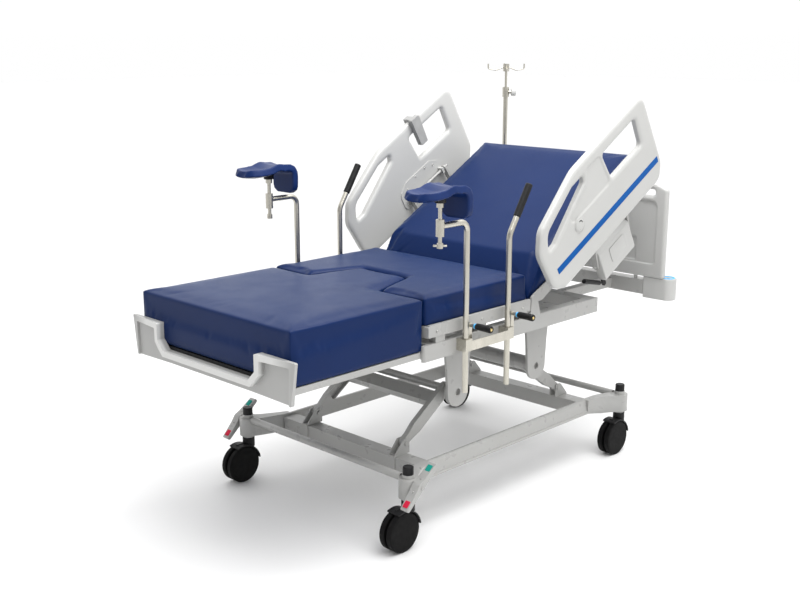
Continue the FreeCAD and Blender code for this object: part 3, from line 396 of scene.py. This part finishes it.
def slab(outline, base, thickness, across, along, up, edge):
    """A thin slab with a rounded rim. Its outline lies in the plane of across and along, from base."""
    form = bmesh.new()
    bottom = form.faces.new([form.verts.new(base + across * a + along * b) for a, b in outline])
    raised = bmesh.ops.extrude_face_region(form, geom=[bottom])
    top = [item for item in raised["geom"] if isinstance(item, bmesh.types.BMVert)]
    bmesh.ops.translate(form, verts=top, vec=up * thickness)
    form.faces.ensure_lookup_table()
    bmesh.ops.recalc_face_normals(form, faces=form.faces)
    rim = [line for line in form.edges if all(corner in top for corner in line.verts)]
    bmesh.ops.bevel(form, geom=rim, offset=edge, segments=3, affect="EDGES", profile=0.5)
    mesh = bpy.data.meshes.new("slab")
    form.to_mesh(mesh)
    form.free()
    return mesh


def rounded_outline(half_width, half_height, radius, steps=6):
    corners = [(half_width, half_height, 0), (-half_width, half_height, 90),
               (-half_width, -half_height, 180), (half_width, -half_height, 270)]
    outline = []
    for x, y, start in corners:
        centre = (x - math.copysign(radius, x), y - math.copysign(radius, y))
        for i in range(steps + 1):
            angle = math.radians(start + 90 * i / steps)
            outline.append((centre[0] + radius * math.cos(angle), centre[1] + radius * math.sin(angle)))
    return outline


def joined(meshes):
    form = bmesh.new()
    for mesh in meshes:
        form.from_mesh(mesh)
    made = bpy.data.meshes.new("joined")
    form.to_mesh(made)
    form.free()
    return made


# Pads

pad_voxel = 0.008
pad_shrink = 0.003
pad_side_swell = 0.002
pad_top_swell = 0.004
last_frame = 20
cover_pressure = 4
cover_stiffness = 25
# A point whose normal's share along the top direction is below this lies on the flat underside.
flat_below = -0.6


def swollen(mesh, held):
    """The points of a cover after a short simulation under pressure. Held points stay."""
    carrier = bpy.data.objects.new("cover", mesh)
    scene.collection.objects.link(carrier)
    group = carrier.vertex_groups.new(name="held")
    group.add([int(i) for i in np.flatnonzero(held)], 1.0, "REPLACE")
    cloth = carrier.modifiers.new("cover", "CLOTH")
    cloth.settings.quality = 4
    cloth.settings.vertex_group_mass = "held"
    cloth.settings.tension_stiffness = cover_stiffness
    cloth.settings.compression_stiffness = cover_stiffness
    cloth.settings.use_pressure = True
    cloth.settings.uniform_pressure_force = cover_pressure
    cloth.settings.effector_weights.gravity = 0
    cloth.collision_settings.use_collision = False
    cloth.point_cache.frame_start = 1
    cloth.point_cache.frame_end = last_frame
    for number in range(1, last_frame + 1):
        scene.frame_set(number)
    shown = carrier.evaluated_get(bpy.context.evaluated_depsgraph_get())
    points = points_of(shown.data)
    bpy.data.objects.remove(carrier)
    scene.frame_set(1)
    return points


def pad(name, node, body, top):
    """A foam pad in a welded cover: a little crowned on top, flat underneath, with soft edges."""
    mesh = remeshed(welded(node), pad_voxel, 3)
    rest = points_of(mesh)
    normals = normals_of(mesh)
    facing = normals @ np.array(top, np.float32)
    held = facing < flat_below
    start = rest - np.where(held, 0, pad_shrink)[:, None] * normals
    set_points(mesh, start)
    moved = swollen(mesh, held) - start
    reach = np.linalg.norm(moved, axis=1, keepdims=True)
    swell = pad_side_swell + (pad_top_swell - pad_side_swell) * np.clip(facing, 0, 1)
    most = (pad_shrink + swell)[:, None]
    grown = start + moved * np.minimum(1, most / np.maximum(reach, 1e-9))
    grown[held] = rest[held]
    set_points(mesh, grown)
    mesh = with_modifiers(mesh, ("SMOOTH", {"factor": 0.5, "iterations": 2}),
                          ("SUBSURF", {"levels": 1, "render_levels": 1}))
    made = piece(name, mesh, cover, body, "pad_blue", node)


# Moulded plates

def outline_points(node, axis, level):
    """Points a millimetre apart along the outlines of a plate where it is cut across an axis."""
    form = bmesh.new()
    form.from_mesh(welded(node))
    place, normal = Vector((0, 0, 0)), Vector((0, 0, 0))
    place[axis], normal[axis] = level, 1
    bmesh.ops.bisect_plane(form, geom=form.verts[:] + form.edges[:] + form.faces[:], dist=1e-6,
                           plane_co=place, plane_no=normal, clear_inner=True, clear_outer=True)
    points = []
    for line in form.edges:
        first, second = (corner.co for corner in line.verts)
        steps = max(1, round((second - first).length / 0.001))
        points += [first.lerp(second, i / steps) for i in range(steps + 1)]
    form.free()
    return points


def round_rimmed(node, axis, inner, outer, rim, flat, voxel, passes):
    """A plate whose faces fall away in a wide soft curve over its rim, down to a narrow flat edge."""
    middle, half = (inner + outer) / 2, abs(outer - inner) / 2
    mesh = remeshed(welded(node), voxel, 0)
    points = points_of(mesh)
    outline = outline_points(node, axis, middle)
    tree = KDTree(len(outline))
    for i, point in enumerate(outline):
        point[axis] = 0
        tree.insert(point, i)
    tree.balance()
    level = points.copy()
    level[:, axis] = 0
    distance = np.array([tree.find(point)[2] for point in level])
    share = 1 - np.minimum(distance, rim) / rim
    limit = np.where(distance < rim, flat + (half - flat) * np.sqrt(1 - share ** 2), 1)
    points[:, axis] = middle + np.clip(points[:, axis] - middle, -limit, limit)
    set_points(mesh, points)
    return with_modifiers(mesh, ("SMOOTH", {"factor": 0.5, "iterations": passes}))


rail_inner, rail_outer = 0.512, 0.545
rail_rim, rail_flat, rail_voxel = 0.019, 0.007, 0.003
stripe_start, stripe_end, stripe_half_width = 0.040, 0.812, 0.0135
stripe_sunk, stripe_thickness = 0.002, 0.0026
indicator_s, indicator_n, indicator_stand = 0.235, 0.081, 0.003
mark_radius = 0.0165


def side_rail(side, sign):
    """The moulded rail with its inlaid stripe and the backrest's angle indicator."""
    body = "rail_" + side
    node = "side_rail_" + side
    mesh = round_rimmed(node, 1, sign * rail_inner, sign * rail_outer, rail_rim, rail_flat, rail_voxel, 3)
    piece("rail_moulding_" + side, mesh, white, body, "white_plastic", node)
    outward = Vector((0, sign, 0))
    outline = rounded_outline((stripe_end - stripe_start) / 2, stripe_half_width, 0.002)
    base = on_back((stripe_start + stripe_end) / 2, sign * (rail_outer - stripe_sunk), 0)
    stripe = slab(outline, base, stripe_thickness, along_back, out_of_back, outward, 0.0005)
    piece("rail_stripe_" + side, stripe, stripe_blue, body, "white_plastic")
    centre = on_back(indicator_s, sign * (rail_outer + indicator_stand), indicator_n)
    dome = turned([(0, 0.0026), (0.011, 0.0024), (0.020, 0.0017), (0.0255, 0.0008), (0.0272, -0.001),
                   (0.0272, -0.003), (0, -0.003)], centre, outward, 48)
    piece("indicator_dome_" + side, dome, white, body, "white_plastic")
    ring = turned([(0.0315, -0.0035), (0.0315, -0.0022), (0.0302, 0), (0.0286, 0.0004), (0.0276, -0.0004),
                   (0.0276, -0.0035), (0.0315, -0.0035)], centre, outward, 48)
    piece("indicator_ring_" + side, ring, white, body, "white_plastic")
    # The crescent above and the V below its middle are rows of small overlapping dots.
    crescent = []
    for i in range(21):
        angle = math.radians(35 + 5 * i)
        size = 0.0036 * math.sin(math.pi * (i + 1) / 22) + 0.0003
        around = Vector((math.cos(angle) * mark_radius, 0, math.sin(angle) * mark_radius))
        dot = [(0, 0.0009), (size * 0.7, 0.0007), (size, 0), (0, 0)]
        crescent.append(turned(dot, centre + outward * 0.0014 + around, outward, 12))
    piece("indicator_marks_" + side, joined(crescent), black, body, "black_plastic")
    notch = []
    for i in range(21):
        share = i / 10 - 1
        below = Vector((share * 0.017, 0, -0.0185 + 0.0125 * abs(share)))
        dot = [(0, 0.0009), (0.0011, 0.0006), (0.0014, 0), (0, 0)]
        notch.append(turned(dot, centre + outward * 0.0011 + below, outward, 12))
    piece("indicator_notch_" + side, joined(notch), trim_dark, body, "black_plastic")


trough_thickness = 0.028
trough_half_width = 0.066
trough_voxel = 0.003
# The middle line of a trough's skin, from its foot end over the crest and down the flap: the way along
# X from the stem, the height, and how far the two long sides stand above the middle.
trough_line = ((-0.136, 1.266, 0.004), (-0.118, 1.263, 0.010), (-0.092, 1.260, 0.013),
               (-0.062, 1.261, 0.013), (-0.034, 1.266, 0.011), (-0.012, 1.275, 0.009),
               (0.006, 1.280, 0.009), (0.030, 1.276, 0.009), (0.060, 1.275, 0.008),
               (0.078, 1.269, 0.006), (0.0865, 1.256, 0.003), (0.0875, 1.238, 0),
               (0.0875, 1.212, 0), (0.0875, 1.175, 0))
# The outline narrows over these lengths towards either end, to these shares of its full width.
foot_curve, foot_width = 0.062, 0.38
flap_curve, flap_width = 0.040, 0.6


def end_width(way, curve, least):
    """The share of the full width at this way from a rounded end."""
    left = 1 - min(1, way / curve)
    return math.sqrt(1 - left ** 2) * (1 - least) + least


def trough(side):
    """A leg trough of skinned foam: a dished saddle with thick round rims and a flap at its head end."""
    node = "leg_trough_" + side
    low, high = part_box("trough_stem_" + side)
    stem = Vector(((low.x + high.x) / 2, (low.y + high.y) / 2, 0))
    across, between = 16, 3
    foot_x, flap_bottom = trough_line[0][0], trough_line[-1][1]
    line = []
    for first, second in zip(trough_line, trough_line[1:]):
        line += [[a + (b - a) * i / between for a, b in zip(first, second)] for i in range(between)]
    line.append(list(trough_line[-1]))
    form = bmesh.new()
    rows = []
    for x, z, lift in line:
        width = min(end_width(x - foot_x, foot_curve, foot_width),
                    end_width(z - flap_bottom, flap_curve, flap_width))
        row = []
        for i in range(across + 1):
            share = 2 * i / across - 1
            corner = Vector((x, share * trough_half_width * width, z + lift * share ** 2))
            row.append(form.verts.new(stem + corner))
        rows.append(row)
    for first, second in zip(rows, rows[1:]):
        for i in range(across):
            form.faces.new((first[i], second[i], second[i + 1], first[i + 1]))
    bmesh.ops.recalc_face_normals(form, faces=form.faces)
    sheet = bpy.data.meshes.new("trough_sheet")
    form.to_mesh(sheet)
    form.free()
    mesh = with_modifiers(sheet, ("SOLIDIFY", {"thickness": trough_thickness, "offset": 0}),
                          ("REMESH", {"mode": "VOXEL", "voxel_size": trough_voxel}),
                          ("SMOOTH", {"factor": 0.5, "iterations": 8}))
    made = piece("trough_pad_" + side, mesh, skin, "trough_" + side, "trough_blue", node)
    socket_base = 1.240
    socket = turned([(0, -0.004), (0.019, -0.004), (0.0205, -0.002), (0.0205, 0.012), (0.026, 0.02),
                     (0, 0.02)], stem + Vector((0, 0, socket_base)), (0, 0, 1), 40)
    piece("trough_socket_" + side, socket, black, "trough_" + side, "black_plastic")


def headboard():
    low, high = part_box("headboard")
    rim, flat, voxel = 0.014, 0.005, 0.003
    mesh = round_rimmed("headboard", 0, low.x, high.x, rim, flat, voxel, 3)
    piece("headboard_moulding", mesh, white, "headboard", "white_plastic", "headboard")


def bumpers():
    """The corner bumpers with a blue ring round the socket on each."""
    mesh = remeshed(welded("corner_bumpers"), 0.003, 5)
    piece("bumper_mouldings", mesh, white, "deck", "white_plastic", "corner_bumpers")
    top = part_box("corner_bumpers")[1].z
    socket_x, socket_y = 0.990, 0.480
    for side, sign in sides:
        ring = turned([(0.031, -0.001), (0.031, 0.0015), (0.029, 0.003), (0.024, 0.003), (0.022, 0.0015),
                       (0.022, -0.001), (0.031, -0.001)], at(socket_x, sign * socket_y, top), (0, 0, 1), 48)
        piece("socket_ring_" + side, ring, ring_blue, "deck", "white_plastic")


def housings():
    mesh = remeshed(welded("rail_housings"), 0.0035, 5)
    piece("housing_mouldings", mesh, white, "backrest", "white_plastic", "rail_housings")


def lever_details(node, body, sign):
    """Black sleeve, brass insert and blue ring on a clamp lever's grip."""
    low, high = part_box(node)
    grip_start, grip_end, grip_height = 0.483, 0.554, 0.762
    outward = Vector((0, sign, 0))
    place = Vector(((low.x + high.x) / 2, sign * grip_start, grip_height))
    length = grip_end - grip_start
    sleeve = turned([(0, -0.001), (0.0095, -0.001), (0.0122, 0.002), (0.013, 0.012),
                     (0.0124, length * 0.55), (0.0134, length - 0.008), (0.0132, length - 0.003),
                     (0.0116, length), (0, length)], place, outward)
    piece(node + "_sleeve", sleeve, black, body, "black_plastic")
    insert = turned([(0, -0.004), (0.006, -0.004), (0.006, 0.0006), (0.0048, 0.0014), (0, 0.0014)],
                    place + outward * length, outward, 6)
    piece(node + "_insert", insert, brass, body, "stainless")
    ring = turned([(0.0065, -0.009), (0.0095, -0.0085), (0.0102, -0.005), (0.0095, -0.0015),
                   (0.0065, -0.001), (0.0065, -0.009)], place, outward)
    piece(node + "_ring", ring, ring_blue, body, "white_plastic")


def screws(name, places, axis, body, radius):
    """Domed socket screws, joined into one piece."""
    head = [(0, 0.0008), (radius * 0.42, 0.0008), (radius * 0.45, 0.003), (radius * 0.7, 0.0031),
            (radius, 0.0014), (radius, -0.001), (0, -0.001)]
    heads = joined([turned(head, place, axis, 24) for place in places])
    piece(name, heads, screw_steel, body, "stainless")


def on_surface(node, start, direction):
    """Where a ray from start meets a node, and the way its surface faces there."""
    form = bmesh.new()
    form.from_mesh(nodes[node].data)
    place, normal, _, _ = BVHTree.FromBMesh(form).ray_cast(start, direction)
    form.free()
    return place, normal


def pedal_pads(side, sign):
    """The green and red foot pads on the upper face of a brake pedal, and its screws."""
    node = "brake_pedal_" + side
    low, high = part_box(node)
    middle = (low + high) / 2
    slope = math.radians(42)
    along = Vector((math.cos(slope), 0, math.sin(slope)))
    up = Vector((-math.sin(slope), 0, math.cos(slope)))
    across = Vector((0, sign, 0))
    above = up * 0.1
    outline = rounded_outline(0.014, 0.0115, 0.004)
    sunk, thickness, edge = 0.0006, 0.0022, 0.0008
    for word, way, material in (("green", 0.074, pad_green), ("red", -0.078, pad_red)):
        place, normal = on_surface(node, middle + along * way + above, -up)
        mesh = slab(outline, place - normal * sunk, thickness, along, across, normal, edge)
        piece("pedal_" + word + "_" + side, mesh, material, "pedal_" + side, "white_plastic")
    places = [on_surface(node, middle + along * way + above, -up)[0] for way in (-0.03, 0.025)]
    screws("pedal_screws_" + side, places, up, "pedal_" + side, 0.0042)


def screws_on_face(name, node, starts, direction, body, radius):
    """Screws where lines along a direction meet a node's face. A line that misses it gets none."""
    places = [on_surface(node, start, direction)[0] for start in starts]
    screws(name, [place for place in places if place], -direction, body, radius)


def hinge_screws(side, sign):
    """Screws that hold the hinge plate to the rail, seen from the mattress."""
    inside = 0.43
    places = ((0.328, -0.024), (0.358, 0.042), (0.43, 0.064), (0.50, 0.064), (0.552, 0.046),
              (0.582, -0.020))
    starts = [on_back(s, sign * inside, n) for s, n in places]
    screws_on_face("hinge_screws_" + side, "hinge_plate_" + side, starts, Vector((0, sign, 0)),
                   "rail_" + side, 0.0048)


def seat_rail_screws(side, sign):
    low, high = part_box("seat_rails")
    starts = [Vector((x, sign * outside, high.z - 0.026))
              for x in (low.x + 0.045, (low.x + high.x) / 2, high.x - 0.05)]
    screws_on_face("seat_rail_screws_" + side, "seat_rails", starts, Vector((0, -sign, 0)), "deck", 0.0052)


def housing_panel(side, sign):
    """The raised service panel on the outer face of a rail housing."""
    panel_s, panel_n = 0.478, -0.228
    start = on_back(panel_s, sign * outside, panel_n)
    place, normal = on_surface("rail_housings", start, Vector((0, -sign, 0)))
    up = normal.cross(along_back).normalized()
    sunk, corner, edge = 0.0005, 0.007, 0.0006
    for name, half_width, half_height, thickness, material in (
            ("housing_panel_rim_", 0.0555, 0.0335, 0.0012, trim_grey),
            ("housing_panel_", 0.0547, 0.0327, 0.0018, white)):
        outline = rounded_outline(half_width, half_height, corner)
        mesh = slab(outline, place - normal * sunk, thickness, along_back, up, normal, edge)
        piece(name + side, mesh, material, "backrest", "white_plastic")


# Studio

def sky():
    """A bright soft surround, dimmer beyond the foot end and brighter with height."""
    dim_side = (-0.98, -0.2, 0)
    world = bpy.data.worlds.new("studio")
    scene.world = world
    world.use_nodes = True
    tree = world.node_tree
    direction = tree.nodes.new("ShaderNodeTexCoord").outputs["Generated"]
    toward = tree.nodes.new("ShaderNodeVectorMath")
    toward.operation = "DOT_PRODUCT"
    toward.inputs[1].default_value = dim_side
    tree.links.new(direction, toward.inputs[0])
    height = tree.nodes.new("ShaderNodeSeparateXYZ")
    tree.links.new(direction, height.inputs["Vector"])
    factors = []
    for source, low, high in ((toward.outputs["Value"], 1.0, 0.32), (height.outputs["Z"], 1.0, 1.6)):
        ramp = tree.nodes.new("ShaderNodeMapRange")
        ramp.inputs["To Min"].default_value = low
        ramp.inputs["To Max"].default_value = high
        tree.links.new(source, ramp.inputs["Value"])
        factors.append(ramp.outputs["Result"])
    product = tree.nodes.new("ShaderNodeMath")
    product.operation = "MULTIPLY"
    for i, factor in enumerate(factors):
        tree.links.new(factor, product.inputs[i])
    tree.links.new(product.outputs["Value"], tree.nodes["Background"].inputs["Strength"])
    tree.nodes["Background"].inputs["Color"].default_value = (1, 1, 1, 1)


def studio():
    """A pale floor, a large soft lamp overhead and a smaller one that reaches between the side rails."""
    floor_mesh = bpy.data.meshes.new("floor")
    reach = 40.0
    corners = [(-reach, -reach, 0), (reach, -reach, 0), (reach, reach, 0), (-reach, reach, 0)]
    floor_mesh.from_pydata(corners, [], [(0, 1, 2, 3)])
    floor = bpy.data.objects.new("floor", floor_mesh)
    scene.collection.objects.link(floor)
    shader = Shader("pale_floor", (0.86, 0.86, 0.86), 0.6)
    shader.vary_roughness(shader.noise(3), 0.05)
    floor_mesh.materials.append(shader.material)
    lamps = {"overhead": ((-0.4, -1.3, 4.0), (-0.1, 0, 0.6), 3.2, 100),
             "between_rails": ((0.25, -0.4, 2.9), (0.35, 0.55, 1.2), 1.2, 30)}
    for name, (place, target, size, power) in lamps.items():
        light = bpy.data.lights.new(name, "AREA")
        light.size = size
        light.energy = power
        lamp = bpy.data.objects.new(name, light)
        scene.collection.objects.link(lamp)
        lamp.location = place
        lamp.rotation_euler = (Vector(target) - Vector(place)).to_track_quat("-Z", "Y").to_euler()


def photo_camera():
    data = bpy.data.cameras.new("photo_camera")
    data.sensor_width = 36.0
    data.lens = 49.594
    camera = bpy.data.objects.new("photo_camera", data)
    scene.collection.objects.link(camera)
    camera.location = at(-3.3155, -3.0151, 1.7911)
    camera.rotation_euler = (math.radians(76.603), 0, math.radians(-45.543))
    scene.camera = camera


# The order of work

edge_widths = {"foot_panel": 0.002, "pendant": 0.002, "side_members": 0.002, "castor_posts": 0.0015,
               "end_tubes": 0.001, "cross_members": 0.0015, "arm_brackets": 0.001,
               "foot_lift_arms": 0.0012, "head_lift_arms": 0.0012, "hanging_plates": 0.001,
               "deck_beams": 0.0012, "seat_rails": 0.002, "head_extension": 0.0015,
               "foot_frame": 0.0012, "brake_pedal_near": 0.001, "brake_pedal_far": 0.001}

finish_cad_nodes()
for node_name, edge_width in edge_widths.items():
    soften_edges(nodes[node_name], edge_width)
pad("foot_pad", "foot_mattress", "foot_section", (0, 0, 1))
pad("seat_pad", "seat_mattress", "deck", (0, 0, 1))
pad("back_pad", "back_mattress", "backrest", out_of_back)
headboard()
bumpers()
housings()
for side_name, way in sides:
    side_rail(side_name, way)
    trough(side_name)
    pedal_pads(side_name, way)
    hinge_screws(side_name, way)
    seat_rail_screws(side_name, way)
    housing_panel(side_name, way)
    for use in ("leg", "grip"):
        lever_details(f"clamp_lever_{use}_{side_name}", f"{use}_lever_{side_name}", way)
sky()
studio()
photo_camera()
scene.view_settings.view_transform = "Standard"
